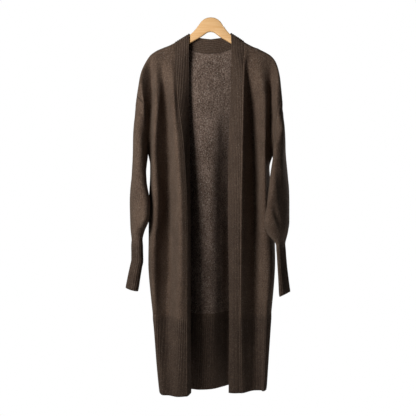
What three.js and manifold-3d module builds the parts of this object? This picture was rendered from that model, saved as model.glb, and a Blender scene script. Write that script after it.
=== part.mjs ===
// A long open cardigan of ribbed and plain knit, hanging on a flat wooden hanger.
// Millimetres, +Z up, the garment's front faces -Y. The origin is the top of the hanger,
// where its hook screws in. Right and left are the wearer's, so the right side is at -X.

import * as THREE from "three";
import { mergeVertices } from "three/addons/utils/BufferGeometryUtils.js";
import Module from "manifold-3d";

// Knit
const CLOTH = 2.5;          // wall thickness of the plain knit
const SEAM_GAP = 0.15;      // each piece stops this far short of a seam line
const RIB_PITCH = 6;        // one knit rib and its furrow
const RIB_HEIGHT = 1.1;     // how far a rib stands out of its furrow
const BAND_RIBS = 8;

// Hanger
const HANGER_THICK = 12;
const HANGER_EDGE = 3.5;    // rounding of its long edges
const HANGER_TILT = THREE.MathUtils.degToRad(0.7);
const SOCKET_D = 5;
const SOCKET_DEPTH = 22;

// Heights that the fold tables are given at
const RIB_TOP = -890;
const HEM = -1120;
const HEIGHTS = [-100, -150, -250, -400, -560, -730, RIB_TOP, HEM];

// Half of the hanger's outline: x from its middle, upper edge, lower edge
const ARM = [
  { x: 0, top: 0, under: -43 },
  { x: 9, top: -1, under: -45 },
  { x: 18, top: -4.5, under: -51 },
  { x: 27, top: -11, under: -57.5 },
  { x: 36, top: -23, under: -63 },
  { x: 48, top: -39, under: -70 },
  { x: 60, top: -51, under: -77 },
  { x: 78, top: -63, under: -87 },
  { x: 100, top: -77, under: -98.5 },
  { x: 123, top: -89.5, under: -109 },
  { x: 147, top: -99.5, under: -119 },
  { x: 165, top: -108.5, under: -127 },
  { x: 174, top: -114, under: -131 },
  { x: 180, top: -121, under: -131 },
];

// Fold lines of each front. shoulder: x on the shoulder line. under: height of its knit row
// that meets the underarm. x and y go with HEIGHTS, null where the line starts lower.
const FRONT = {
  right: [
    { name: "band seam", shoulder: -108, under: -275,
      x: [-107, -105, -100, -82, -73, -69, -69, -70],
      y: [-11, -20, -36, -52, -64, -70, -72, -72] },
    { name: "front ridge", shoulder: -126, under: -285,
      x: [-124, -120, -113, -103, -94, -93, -96, -98],
      y: [-10, -22, -43, -60, -72, -77, -77, -78] },
    { name: "chest trough", shoulder: -147, under: -312,
      x: [null, -146, -136, -130, -127, -125, -128, -122],
      y: [null, -13, -4, 10, 14, 10, -20, -60] },
    { name: "side ridge", shoulder: -168, under: -350,
      x: [null, -166, -161, -164, -159, -168, -163, -141],
      y: [null, -19, -39, -46, -43, -42, -48, -56] },
  ],
  left: [
    { name: "band seam", shoulder: 99, under: -275,
      x: [98, 94, 92, 89, 86, 85, 83, 82],
      y: [-11, -19, -33, -43, -46, -43, -38, -31] },
    { name: "front ridge", shoulder: 112, under: -285,
      x: [108, 100, 98, 95, 93, 92, 92, 96],
      y: [-10, -18, -33, -44, -46, -42, -35, -28] },
    { name: "deep trough", shoulder: 127, under: -312,
      x: [117, 113, 120, 127, 130, 131, 128, 124],
      y: [-9, -8, 6, 18, 24, 22, 16, 2] },
    { name: "side ridge", shoulder: 146, under: -350,
      x: [null, 148, 157, 156, 155, 156, 152, 150],
      y: [null, -18, -32, -28, -18, -8, 0, 6] },
  ],
};

// The free edge of the band up each front
const BAND_EDGE = {
  right: { shoulder: -64, under: -262,
    x: [-66, -67, -67, -65, -63, -62, -62, -60],
    y: [-10, -3, 1, -6, -17, -22, -24, -25] },
  left: { shoulder: 59, under: -262,
    x: [61, 60, 59, 53, 51, 53, 54, 52],
    y: [-10, -3, 3, -13, -20, -24, -26, -26] },
};

// The back's fold lines, from the side to the middle
const BACK = {
  right: [
    { name: "neck corner", shoulder: -108, under: -275,
      x: [-104, -96, -82, -68, -64, -62, -62, -58],
      y: [11, 14, 22, 30, 36, 38, 34, 24] },
    { name: "back ridge", shoulder: -126, under: -285,
      x: [-123, -119, -108, -92, -84, -80, -80, -80],
      y: [10, 16, 33, 51, 63, 63, 50, 31] },
    { name: "back trough", shoulder: -147, under: -312,
      x: [null, -147, -142, -130, -120, -118, -115, -110],
      y: [null, 12, 20, 32, 38, 40, 42, 34] },
    { name: "side ridge", shoulder: -168, under: -350,
      x: [null, -171, -168, -159, -150, -150, -142, -132],
      y: [null, 20, 40, 50, 58, 58, 44, 22] },
  ],
  left: [
    { name: "neck corner", shoulder: 99, under: -275,
      x: [98, 92, 78, 60, 56, 56, 58, 62],
      y: [11, 14, 26, 62, 78, 84, 86, 88] },
    { name: "back ridge", shoulder: 112, under: -285,
      x: [110, 106, 100, 92, 88, 88, 90, 94],
      y: [10, 16, 33, 62, 80, 86, 86, 88] },
    { name: "back trough", shoulder: 127, under: -312,
      x: [126, 124, 122, 122, 122, 124, 122, 122],
      y: [10, 12, 17, 34, 46, 50, 60, 74] },
    { name: "side ridge", shoulder: 146, under: -350,
      x: [null, 148, 148, 150, 152, 154, 148, 146],
      y: [null, 20, 38, 50, 66, 70, 68, 67] },
  ],
};

// The middle of the back, under the neck seam
const BACK_MIDDLE = [
  { name: "right of middle", top: [-50, 11, -100], under: -265,
    x: [null, -48, -43, -38, -36, -36, -36, -34],
    y: [null, 12, 12, 12, 12, 13, 14, 14] },
  { name: "middle", top: [0, 11.5, -106], under: -262,
    x: [null, 0, 0, 0, 2, 3, 4, 4],
    y: [null, 12, 13, 15, 17, 18, 20, 24] },
  { name: "left of middle", top: [50, 11, -97], under: -265,
    x: [null, 47, 42, 32, 30, 31, 32, 36],
    y: [null, 12, 21, 42, 48, 50, 52, 58] },
];

// Free edge of the neckband behind the neck, at 0.16, 0.55 and all of the way to centre back
const NECK_EDGE = {
  right: [[-57, 9, -53], [-28, 10.5, -60], [0, 11, -63]],
  left: [[52, 9, -52], [28, 10.5, -59], [0, 11, -63]],
};

// Where the dropped shoulder falls off the hanger: three knit columns from the shoulder line to
// the underarm row, given at DROP_ROWS. deep is how far each stands forward or back.
const DROP_ROWS = [0, 0.25, 0.5, 0.75, 1];
const DROP = [
  { name: "armpit trough", deep: [8.8, 8, 4, 10, 28], z: [-121, -165, -225, -300, -378],
    right: [-187, -182, -178, -178, -174], left: [185, 181, 179, 175, 166] },
  { name: "shoulder bulge", deep: [20, 36, 42, 10, 12], z: [-166, -188, -232, -300, -390],
    right: [-208, -206, -200, -188, -181], left: [203, 198, 191, 183, 175] },
  { name: "armhole", deep: [24, 39, 46, 36, 0], z: [-238, -251, -266, -320, -403],
    right: [-222, -209, -198, -195, -190], left: [213, 204, 197, 191, 186] },
];
const UNDERARM = { right: { y: 6, lower: 0 }, left: { y: 14, lower: 9 } };

// The flank between side ridge and side seam, at FLANK_HEIGHTS
const FLANK_HEIGHTS = [-450, -560, -730, RIB_TOP, HEM];
const FLANK = {
  right: {
    front: [{ x: [-174, -176, -180, -170, -148], y: [-27, -24, -22, -26, -37] },
      { x: [-181, -184, -186, -173, -151], y: [-6, -5, -5, -8, -25] }],
    seam: { x: [-182, -185, -186, -172, -149], y: [13, 14, 12, 6, -12] },
    back: [{ x: [-170, -170, -171, -160, -143], y: [42, 46, 44, 32, 12] },
      { x: [-180, -182, -182, -169, -149], y: [29, 32, 30, 20, 0] }],
  },
  left: {
    front: [{ x: [162, 168, 174, 164, 156], y: [-12, -8, -12, -12, -6] },
      { x: [173, 182, 188, 177, 164], y: [10, 14, 10, 8, 10] }],
    seam: { x: [177, 188, 195, 183, 167], y: [28, 36, 34, 30, 28] },
    back: [{ x: [166, 174, 180, 167, 157], y: [51, 62, 62, 58, 55] },
      { x: [176, 186, 192, 179, 164], y: [40, 51, 50, 45, 43] }],
  },
};

// Sleeve sections down to the cuff: outer and inner x, middle and half depth in y, and how far
// the section leans (its front shifted towards the body)
const SLEEVE = {
  right: [
    { z: -238, outer: -222, inner: -190, mid: 0, half: 44, lean: 0 },
    { z: -320, outer: -228, inner: -190, mid: -2, half: 52, lean: 0 },
    { z: -403, outer: -233, inner: -195, mid: -3, half: 59, lean: 0.08 },
    { z: -490, outer: -238, inner: -192, mid: -8, half: 62, lean: 0.12 },
    { z: -560, outer: -243, inner: -181, mid: -12, half: 63, lean: 0.25 },
    { z: -605, outer: -242, inner: -184, mid: -12, half: 60, lean: 0.22 },
    { z: -640, outer: -239, inner: -199, mid: -10, half: 48, lean: 0.12 },
    { z: -668, outer: -237, inner: -205, mid: -8, half: 39, lean: 0.12 },
    { z: -727, outer: -237, inner: -204, mid: -8, half: 38, lean: 0.14 },
    { z: -742, outer: -240, inner: -207, mid: -8, half: 38, lean: 0.14 },
    { z: -775, outer: -247, inner: -213, mid: -8, half: 39, lean: 0.14 },
    { z: -817, outer: -255, inner: -219, mid: -8, half: 40, lean: 0.14 },
  ],
  left: [
    { z: -247, outer: 213, inner: 176, mid: 0, half: 44, lean: 0 },
    { z: -320, outer: 218, inner: 176, mid: -4, half: 52, lean: 0 },
    { z: -403, outer: 224, inner: 182, mid: -12, half: 58, lean: 0.22 },
    { z: -490, outer: 231, inner: 172, mid: -26, half: 62, lean: 0.3 },
    { z: -560, outer: 234, inner: 164, mid: -36, half: 60, lean: 0.42 },
    { z: -612, outer: 233, inner: 156, mid: -42, half: 56, lean: 0.46 },
    { z: -645, outer: 228, inner: 166, mid: -34, half: 50, lean: 0.34 },
    { z: -680, outer: 222, inner: 192, mid: -24, half: 39, lean: 0.28 },
    { z: -740, outer: 226, inner: 197, mid: -24, half: 38, lean: 0.32 },
    { z: -790, outer: 232, inner: 200, mid: -24, half: 39, lean: 0.34 },
    { z: -830, outer: 237, inner: 202, mid: -24, half: 40, lean: 0.34 },
  ],
};
const CUFF_TOP = { right: -668, left: -680 };
const CUFF_END = { right: -814.5, left: -827.5 };
// How far the end of each cuff rises at its outer side and drops at its inner one
const CUFF_TILT = { right: 4.5, left: 6 };

// Knit rows that the meshes follow: 0 is the shoulder line, 1 the underarm, 2 the top of the
// hem rib and 3 the hem
const ARMHOLE_ROWS = [0, 0.015, 0.047, 0.16, 0.3, 0.45, 0.6, 0.75, 0.88, 1];
const BODY_ROWS = [1.12, 1.24, 1.36, 1.48, 1.6, 1.73, 1.86, 2];
const HEM_ROWS = [2, 2.3, 2.62, 3];
const SLEEVE_ROWS = [0, 0.06, 0.14, 0.24, 0.36, 0.48, 0.6, 0.7, 0.79, 0.87, 0.93, 0.97, 1];
const CUFF_ROWS = [0, 0.25, 0.45, 0.7, 1];
const NECK_STEPS = [0, 0.04, 0.12, 0.3, 0.55, 0.78, 1];
const FOLD_STEPS = [0, 0.5, 1, 1.5, 2, 2.5, 3, 3.5, 4, 4.5, 5, 5.5, 6];

const mix = THREE.MathUtils.lerp;

// A smooth curve through (keys, values) that never swings past them
function through(keys, values, key) {
  const last = keys.length - 1;
  const dir = keys[last] > keys[0] ? 1 : -1;
  if ((key - keys[0]) * dir <= 0) {
    return values[0];
  }
  if ((key - keys[last]) * dir >= 0) {
    return values[last];
  }
  const slope = (i) => (values[i + 1] - values[i]) / (keys[i + 1] - keys[i]);
  const tangent = (i) => {
    if (i === 0) {
      return slope(0);
    }
    if (i === last) {
      return slope(last - 1);
    }
    const before = slope(i - 1);
    const after = slope(i);
    return before * after <= 0 ? 0 : (2 * before * after) / (before + after);
  };
  let i = 0;
  while ((key - keys[i + 1]) * dir > 0) {
    i += 1;
  }
  const step = keys[i + 1] - keys[i];
  const t = (key - keys[i]) / step;
  const bend = t * t * (3 - 2 * t);
  return mix(values[i], values[i + 1], bend)
    + step * (t * (1 - t) * (1 - t) * tangent(i) - t * t * (1 - t) * tangent(i + 1));
}

// Hanger

function tilted(x, z) {
  return new THREE.Vector2(x + z * HANGER_TILT, z - x * HANGER_TILT);
}

function armTop(x) {
  return through(ARM.map((row) => row.x), ARM.map((row) => row.top), Math.abs(x));
}

// Middle of the cloth where it lies over the hanger's arm at x
function overArm(x) {
  const at = tilted(x, armTop(x));
  return new THREE.Vector3(x, 0, at.y + 3.6 + 0.006 * Math.abs(x));
}

const wasm = await Module();
wasm.setup();

function toManifold(geometry) {
  const bare = geometry.clone();
  bare.deleteAttribute("normal");
  bare.deleteAttribute("uv");
  const merged = mergeVertices(bare, 1e-4);
  return new wasm.Manifold(new wasm.Mesh({
    numProp: 3,
    vertProperties: new Float32Array(merged.attributes.position.array),
    triVerts: new Uint32Array(merged.index.array),
  }));
}

function fromManifold(solid) {
  const mesh = solid.getMesh();
  const geometry = new THREE.BufferGeometry();
  geometry.setAttribute("position", new THREE.BufferAttribute(mesh.vertProperties, 3));
  geometry.setIndex(new THREE.BufferAttribute(mesh.triVerts, 1));
  return geometry;
}

function hangerGeometry() {
  const upper = ARM.map((row) => [row.x, row.top]);
  const lower = ARM.map((row) => [row.x, row.under]);
  const half = [...upper, [182, -126], ...lower.reverse()];
  const other = half.slice(1, -1).reverse().map(([x, z]) => [-x, z]);
  const shape = new THREE.Shape([...half, ...other].map(([x, z]) => new THREE.Vector2(x, z)));
  const flat = new THREE.ExtrudeGeometry(shape, {
    depth: HANGER_THICK - 2 * HANGER_EDGE,
    bevelThickness: HANGER_EDGE,
    bevelSize: HANGER_EDGE,
    bevelOffset: -HANGER_EDGE,
    bevelSegments: 2,
  });
  flat.translate(0, 0, HANGER_EDGE - HANGER_THICK / 2);
  flat.rotateX(Math.PI / 2);
  const socket = new THREE.CylinderGeometry(SOCKET_D / 2, SOCKET_D / 2, 2 * SOCKET_DEPTH, 16);
  socket.rotateX(Math.PI / 2);
  return fromManifold(toManifold(flat).subtract(toManifold(socket)));
}

// Knitted panels: every panel is a net of points, [row][column]

// The knit row number of a height on a fold line
function rowAt(fold, shoulderZ, z) {
  if (z > fold.under) {
    return (shoulderZ - z) / (shoulderZ - fold.under);
  }
  if (z > RIB_TOP) {
    return 1 + (fold.under - z) / (fold.under - RIB_TOP);
  }
  return 2 + (RIB_TOP - z) / (RIB_TOP - HEM);
}

// A fold line as knots {row, x, y, z} from a table row; roundAt is where the cloth has turned
// over the shoulder
function foldLine(fold, face) {
  const start = fold.top ? new THREE.Vector3(...fold.top) : overArm(fold.shoulder);
  const knots = [{ row: 0, x: start.x, y: fold.top ? start.y : face * 8.8, z: start.z }];
  HEIGHTS.forEach((z, i) => {
    if (fold.x[i] !== null && z < start.z - 12) {
      knots.push({ row: rowAt(fold, start.z, z), x: fold.x[i], y: fold.y[i], z });
    }
  });
  return { knots, roundAt: fold.top ? 0 : 0.055 };
}

// The three columns of the dropped shoulder and the flank below them
function dropLine(side, face, index) {
  const table = DROP[index];
  const { y: underarmY, lower } = UNDERARM[side];
  const knots = DROP_ROWS.map((row, i) => ({
    row,
    x: table[side][i],
    y: face * table.deep[i] + underarmY * row * row,
    z: table.z[i] - (index === 2 ? lower : lower * row),
  }));
  const below = FLANK[side];
  const flank = index === 2 ? below.seam : below[face < 0 ? "front" : "back"][index];
  const under = knots[4].z;
  FLANK_HEIGHTS.forEach((z, i) => {
    const row = z >= RIB_TOP ? 1 + (under - z) / (under - RIB_TOP) : 3;
    knots.push({ row, x: flank.x[i], y: flank.y[i], z });
  });
  return { knots, seamBelow: index === 2, roundAt: [0.055, 0.1, 0.14][index] };
}

// A point on a fold line. Below the underarm the armhole's line is the side seam, the same for
// front and back, so its two parts are separate curves. behind is how far the column has
// already turned over the shoulder where it starts, 0 to 1.
function onFold(line, row, behind = 0) {
  const split = DROP_ROWS.length - 1;
  const used = !line.seamBelow ? line.knots
    : line.knots.slice(...(row <= 1 ? [0, split + 1] : [split]));
  const turned = line.roundAt === 0 ? 1 : Math.min(1, Math.max(behind, row / line.roundAt));
  const at = (key) => through(used.map((knot) => knot.row), used.map((knot) => knot[key]), row);
  return new THREE.Vector3(at("x"), at("y") * Math.sqrt(1 - (1 - turned) ** 2), at("z"));
}

function foldLines(side, face) {
  const tables = face < 0 ? FRONT[side] : BACK[side];
  return [
    ...tables.map((fold) => foldLine(fold, face)),
    ...[0, 1, 2].map((index) => dropLine(side, face, index)),
  ];
}

// Spline across fold lines at one knit row
function across(lines, row, step, behind = 0) {
  const points = lines.map((line) => onFold(line, row, behind));
  const i = Math.min(Math.floor(step), points.length - 2);
  const t = step - i;
  if (t === 0) {
    return points[i];
  }
  const p1 = points[i];
  const p2 = points[i + 1];
  const p0 = points[i - 1] ?? p1.clone().multiplyScalar(2).sub(p2);
  const p3 = points[i + 2] ?? p2.clone().multiplyScalar(2).sub(p1);
  const bow = (a, b, c, d) => 0.5 * ((2 * b) + (c - a) * t
    + (2 * a - 5 * b + 4 * c - d) * t * t + (3 * b - a - 3 * c + d) * t * t * t);
  return new THREE.Vector3(
    bow(p0.x, p1.x, p2.x, p3.x), bow(p0.y, p1.y, p2.y, p3.y), bow(p0.z, p1.z, p2.z, p3.z));
}

const LINES = {};
for (const side of ["right", "left"]) {
  LINES[side] = { front: foldLines(side, -1), back: foldLines(side, 1) };
}
const MIDDLE = BACK_MIDDLE.map((fold) => foldLine(fold, 1));

function frontNet(side, rows) {
  return rows.map((row) => FOLD_STEPS.map((step) => across(LINES[side].front, row, step)));
}

// The back under the neck, at share t of the way from the neck corner to the middle. At
// NECK_TURN it has passed over the hanger and lies behind it.
const NECK_TURN = 0.12;
const NECK_LINES = [LINES.right.back[1], LINES.right.back[0], ...MIDDLE,
  LINES.left.back[0], LINES.left.back[1]];

function underNeck(side, row, t) {
  return across(NECK_LINES, row, side === "right" ? 1 + 2 * t : 5 - 2 * t, t / NECK_TURN);
}

// The back runs from the right side seam to the left one, through the middle
function backNet(rows) {
  return rows.map((row) => [
    ...[...FOLD_STEPS].reverse().map((step) => across(LINES.right.back, row, step)),
    ...NECK_STEPS.slice(1).map((t) => underNeck("right", row, t)),
    ...NECK_STEPS.slice(1, -1).reverse().map((t) => underNeck("left", row, t)),
    ...FOLD_STEPS.map((step) => across(LINES.left.back, row, step)),
  ]);
}

// The band: rows run along it from hem to centre back, columns from its seam to its free edge
const BAND_STEPS = [0, 0.25, 0.5, 0.75, 1];

function bandNet(side) {
  const face = -1;
  const edgeLine = foldLine(BAND_EDGE[side], face);
  const seamLine = LINES[side].front[0];
  const rows = [...ARMHOLE_ROWS, ...BODY_ROWS, ...HEM_ROWS.slice(1)].reverse();
  const crossing = (seam, edge, bulge) => BAND_STEPS.map((t) => {
    const point = seam.clone().lerp(edge, t);
    point.y += bulge * Math.sin(Math.PI * t);
    return point;
  });
  const net = rows.map((row) => {
    const hidden = Math.min(1, row / 0.3);
    return crossing(onFold(seamLine, row), onFold(edgeLine, row), -4 * hidden);
  });
  const corner = overArm(BAND_EDGE[side].shoulder);
  const edge = [[corner.x, 8.8, corner.z], ...NECK_EDGE[side]];
  NECK_STEPS.slice(1).forEach((t) => {
    const at = [0, 1, 2].map((axis) => through([0, 0.16, 0.55, 1], edge.map((p) => p[axis]), t));
    at[1] *= Math.sqrt(1 - (1 - Math.min(1, t / NECK_TURN)) ** 2);
    net.push(crossing(underNeck(side, 0, t), new THREE.Vector3(...at), 0));
  });
  return net;
}

// The sleeve: rings from the armhole to the cuff, each starting at the outer side
function sleeveSection(side, z, angle) {
  const rows = SLEEVE[side];
  const keys = rows.map((row) => row.z);
  const at = (name) => through(keys, rows.map((row) => row[name]), z);
  const half = at("half");
  const lean = at("lean") * half;
  const reach = Math.abs(at("outer") - at("inner")) / 2;
  const own = Math.sqrt(Math.max(reach * reach - lean * lean, 60));
  const towards = side === "right" ? 1 : -1;
  const middle = (at("outer") + at("inner")) / 2;
  const x = middle - towards * (own * Math.cos(angle) - lean * Math.sin(angle));
  return new THREE.Vector3(x, at("mid") - half * Math.sin(angle), z);
}

function armholeRing(side) {
  const front = ARMHOLE_ROWS.map((row) => onFold(LINES[side].front[6], row));
  const back = ARMHOLE_ROWS.map((row) => onFold(LINES[side].back[6], row)).reverse();
  const seam = [...front, ...back.slice(1, -1)];
  const ring = [];
  seam.forEach((point, i) => {
    const next = seam[(i + 1) % seam.length];
    ring.push(point);
    if (point.distanceTo(next) > 16) {
      ring.push(point.clone().lerp(next, 0.5));
    }
  });
  return ring;
}

// Angle of each ring point round the sleeve, by its share of the way round
function ringAngles(side, ring) {
  const underarm = onFold(LINES[side].front[6], 1);
  const lengths = ring.map((point, i) => point.distanceTo(ring[(i + 1) % ring.length]));
  const low = ring.findIndex((point) => point.distanceTo(underarm) < 0.01);
  const sum = (from, to) => lengths.slice(from, to).reduce((a, b) => a + b, 0);
  return ring.map((point, i) => (i <= low
    ? Math.PI * sum(0, i) / sum(0, low)
    : Math.PI * (1 + sum(low, i) / sum(low, ring.length))));
}

function sleeveNet(side) {
  const ring = armholeRing(side);
  const angles = ringAngles(side, ring);
  return SLEEVE_ROWS.map((share) => ring.map((start, k) => {
    const z = mix(start.z, CUFF_TOP[side], share);
    const off = start.clone().sub(sleeveSection(side, start.z, angles[k]));
    const fade = 1 - THREE.MathUtils.smoothstep(start.z - z, 0, 70);
    return sleeveSection(side, z, angles[k]).addScaledVector(off, fade).setZ(z);
  }));
}

function cuffNet(side, columns) {
  return CUFF_ROWS.map((share) => Array.from({ length: columns }, (_, k) => {
    const angle = 2 * Math.PI * k / columns;
    const point = sleeveSection(side, mix(CUFF_TOP[side], CUFF_END[side], share), angle);
    point.z += CUFF_TILT[side] * share * share * Math.cos(angle);
    return point;
  }));
}

// Normals are shared by position, so that two panels agree along their seam
const sharedNormals = new Map();
const keyOf = (p) => `${p.x.toFixed(2)},${p.y.toFixed(2)},${p.z.toFixed(2)}`;

function addNormals(net, sign, closed) {
  const columns = net[0].length;
  for (let i = 0; i < net.length - 1; i += 1) {
    for (let j = 0; j < (closed ? columns : columns - 1); j += 1) {
      const next = (j + 1) % columns;
      const corners = [net[i][j], net[i][next], net[i + 1][j], net[i + 1][next]];
      const down = corners[2].clone().sub(corners[1]);
      const over = corners[3].clone().sub(corners[0]);
      const normal = down.cross(over).multiplyScalar(sign);
      for (const corner of corners) {
        const key = keyOf(corner);
        const sum = sharedNormals.get(key) ?? new THREE.Vector3();
        sharedNormals.set(key, sum.add(normal));
      }
    }
  }
}

function normalsOf(net) {
  return net.map((line) => line.map((p) => sharedNormals.get(keyOf(p)).clone().normalize()));
}

const levelOut = (normals) => normals.map((n) => n.setZ(0).normalize());

// Points of a row moved off a seam line by the seam gap
function pulledIn(net, closed) {
  const out = net.map((line) => line.map((p) => p.clone()));
  const nudge = (p, inner) => p.addScaledVector(inner.clone().sub(p).normalize(), SEAM_GAP);
  const last = net.length - 1;
  net[0].forEach((p, j) => {
    nudge(out[0][j], net[1][j]);
    nudge(out[last][j], net[last - 1][j]);
  });
  if (!closed) {
    const end = net[0].length - 1;
    net.forEach((line, i) => {
      nudge(out[i][0], line[1]);
      nudge(out[i][end], line[end - 1]);
    });
  }
  return out;
}

// A closed wall from its outer and inner nets, which may differ in columns
function wall(outer, inner, closed) {
  const points = [];
  const index = (net) => net.map((line) => line.map((p) => points.push(p) - 1));
  const out = index(outer);
  const inn = index(inner);
  const faces = [];
  const cover = (grid, flip) => {
    const columns = grid[0].length;
    for (let i = 0; i < grid.length - 1; i += 1) {
      for (let j = 0; j < (closed ? columns : columns - 1); j += 1) {
        const k = (j + 1) % columns;
        const quad = [grid[i][j], grid[i][k], grid[i + 1][k], grid[i + 1][j]];
        if (flip) {
          quad.reverse();
        }
        const [a, b, c, d] = quad;
        const short = points[a].distanceTo(points[c]) < points[b].distanceTo(points[d]);
        faces.push(...(short ? [a, b, c, a, c, d] : [a, b, d, b, c, d]));
      }
    }
  };
  cover(out, false);
  cover(inn, true);
  const rim = (a, b, round) => {
    const first = round ? [...a, a[0]] : a;
    const second = round ? [...b, b[0]] : b;
    let i = 0;
    let j = 0;
    while (i < first.length - 1 || j < second.length - 1) {
      const moveFirst = j === second.length - 1
        || (i < first.length - 1 && (i + 1) / (first.length - 1) <= (j + 1) / (second.length - 1));
      if (moveFirst) {
        faces.push(first[i], second[j], first[i + 1]);
        i += 1;
      } else {
        faces.push(first[i], second[j], second[j + 1]);
        j += 1;
      }
    }
  };
  const last = out.length - 1;
  rim(out[0], inn[0], closed);
  rim([...out[last]].reverse(), [...inn[last]].reverse(), closed);
  if (!closed) {
    const column = (grid, j) => grid.map((line) => line.at(j));
    rim(column(inn, 0), column(out, 0), false);
    rim(column(out, -1), column(inn, -1), false);
  }
  const geometry = new THREE.BufferGeometry();
  geometry.setAttribute("position",
    new THREE.Float32BufferAttribute(points.flatMap((p) => [p.x, p.y, p.z]), 3));
  geometry.setIndex(faces);
  let volume = 0;
  for (let i = 0; i < faces.length; i += 3) {
    const [a, b, c] = [points[faces[i]], points[faces[i + 1]], points[faces[i + 2]]];
    volume += a.dot(b.clone().cross(c));
  }
  if (volume < 0) {
    for (let i = 0; i < faces.length; i += 3) {
      [faces[i], faces[i + 1]] = [faces[i + 1], faces[i]];
    }
    geometry.setIndex(faces);
  }
  return geometry;
}

function offset(net, normals, by) {
  return net.map((line, i) => line.map((p, j) => p.clone().addScaledVector(normals[i][j], by)));
}

function plainWall(net, closed, levelRows) {
  const normals = normalsOf(net);
  for (const row of levelRows) {
    levelOut(normals[row]);
  }
  const mid = pulledIn(net, closed);
  return wall(offset(mid, normals, CLOTH / 2), offset(mid, normals, -CLOTH / 2), closed);
}

// A sleeve is cut clear of the two panels where they meet it deep in the armpit fold. Each
// panel is taken away at six small shifts, which leaves the seam's gap all round it.
function clearOf(geometry, neighbours) {
  const clear = 2 * SEAM_GAP;
  const shifts = [[clear, 0, 0], [-clear, 0, 0], [0, clear, 0], [0, -clear, 0],
    [0, 0, clear], [0, 0, -clear]];
  let solid = toManifold(geometry);
  for (const neighbour of neighbours) {
    for (const [x, y, z] of shifts) {
      solid = solid.subtract(toManifold(neighbour.clone().translate(x, y, z)));
    }
  }
  const pieces = solid.decompose().sort((a, b) => b.volume() - a.volume());
  return fromManifold(pieces[0]);
}

// A ribbed wall: ribs raised on the outside across the net's columns, over a plain inside
function ribbedWall(net, closed, ribs, innerColumns, levelRows) {
  const normals = normalsOf(net);
  for (const row of levelRows) {
    levelOut(normals[row]);
  }
  const mid = pulledIn(net, closed);
  const spread = (i, count) => {
    const line = closed ? [...mid[i], mid[i][0]] : mid[i];
    const sides = closed ? [...normals[i], normals[i][0]] : normals[i];
    const curve = new THREE.CatmullRomCurve3(line, false, "centripetal");
    const length = [0];
    line.slice(1).forEach((p, j) => length.push(length[j] + p.distanceTo(line[j])));
    return Array.from({ length: closed ? count : count + 1 }, (_, k) => {
      const share = k / count * length.at(-1);
      const j = Math.min(length.findLastIndex((l) => l <= share), line.length - 2);
      const t = (share - length[j]) / (length[j + 1] - length[j]);
      return {
        point: curve.getPoint((j + t) / (line.length - 1)),
        normal: sides[j].clone().lerp(sides[j + 1], t).normalize(),
      };
    });
  };
  const outer = mid.map((_, i) => spread(i, 2 * ribs).map(({ point, normal }, k) => (
    point.addScaledVector(normal, CLOTH / 2 - 0.2 + (k % 2) * RIB_HEIGHT))));
  const inner = mid.map((_, i) => spread(i, innerColumns).map(({ point, normal }) => (
    point.addScaledVector(normal, -CLOTH / 2))));
  return wall(outer, inner, closed);
}

// Nets of all the pieces, which also settle the normals along their seams
const PANEL_ROWS = [...ARMHOLE_ROWS, ...BODY_ROWS];
const nets = {
  back: backNet(PANEL_ROWS),
  hem_back: backNet(HEM_ROWS),
};
addNormals(nets.back, -1, false);
addNormals(nets.hem_back, -1, false);
for (const side of ["right", "left"]) {
  const sign = side === "right" ? -1 : 1;
  nets[`front_${side}`] = frontNet(side, PANEL_ROWS);
  nets[`hem_${side}`] = frontNet(side, HEM_ROWS);
  nets[`band_${side}`] = bandNet(side);
  nets[`sleeve_${side}`] = sleeveNet(side);
  nets[`cuff_${side}`] = cuffNet(side, 20);
  addNormals(nets[`front_${side}`], sign, false);
  addNormals(nets[`hem_${side}`], sign, false);
  addNormals(nets[`band_${side}`], sign, false);
  addNormals(nets[`sleeve_${side}`], -sign, true);
  addNormals(nets[`cuff_${side}`], -sign, true);
}

const PLAIN = new THREE.MeshStandardMaterial({ color: 0x5b4d41, roughness: 0.95, metalness: 0 });
const RIBBED = new THREE.MeshStandardMaterial({ color: 0x54473c, roughness: 0.95, metalness: 0 });
const WOOD = new THREE.MeshStandardMaterial({ color: 0xe3c18e, roughness: 0.5, metalness: 0 });

const cardigan = new THREE.Group();
function add(name, geometry, material) {
  const mesh = new THREE.Mesh(geometry, material.clone());
  mesh.name = name;
  cardigan.add(mesh);
  return mesh;
}

// Widest row of a net, for the number of ribs that fit it
function widest(net, closed) {
  return Math.max(...net.map((line) => {
    const loop = closed ? [...line, line[0]] : line;
    return loop.slice(1).reduce((sum, p, j) => sum + p.distanceTo(loop[j]), 0);
  }));
}

const lastRow = PANEL_ROWS.length - 1;
const back = plainWall(nets.back, false, [lastRow]);
add("back", back, PLAIN);
add("hem_back", ribbedWall(nets.hem_back, false,
  Math.round(widest(nets.hem_back) / RIB_PITCH), 40, [0]), RIBBED);
for (const side of ["right", "left"]) {
  const front = plainWall(nets[`front_${side}`], false, [lastRow]);
  const sleeve = plainWall(nets[`sleeve_${side}`], true, [SLEEVE_ROWS.length - 1]);
  const hem = nets[`hem_${side}`];
  const cuff = nets[`cuff_${side}`];
  add(`front_${side}`, front, PLAIN);
  add(`hem_${side}`, ribbedWall(hem, false, Math.round(widest(hem) / RIB_PITCH), 14, [0]), RIBBED);
  add(`sleeve_${side}`, clearOf(sleeve, [front, back]), PLAIN);
  add(`cuff_${side}`, ribbedWall(cuff, true,
    Math.round(widest(cuff, true) / RIB_PITCH), 20, [0]), RIBBED);
  add(`band_${side}`, ribbedWall(nets[`band_${side}`], false, BAND_RIBS, 4, []), RIBBED);
}
const hanger = add("hanger", hangerGeometry(), WOOD);
hanger.rotation.y = HANGER_TILT;

export default cardigan;
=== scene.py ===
import math

import bmesh
import bpy
import numpy as np
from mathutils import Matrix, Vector, noise


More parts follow.
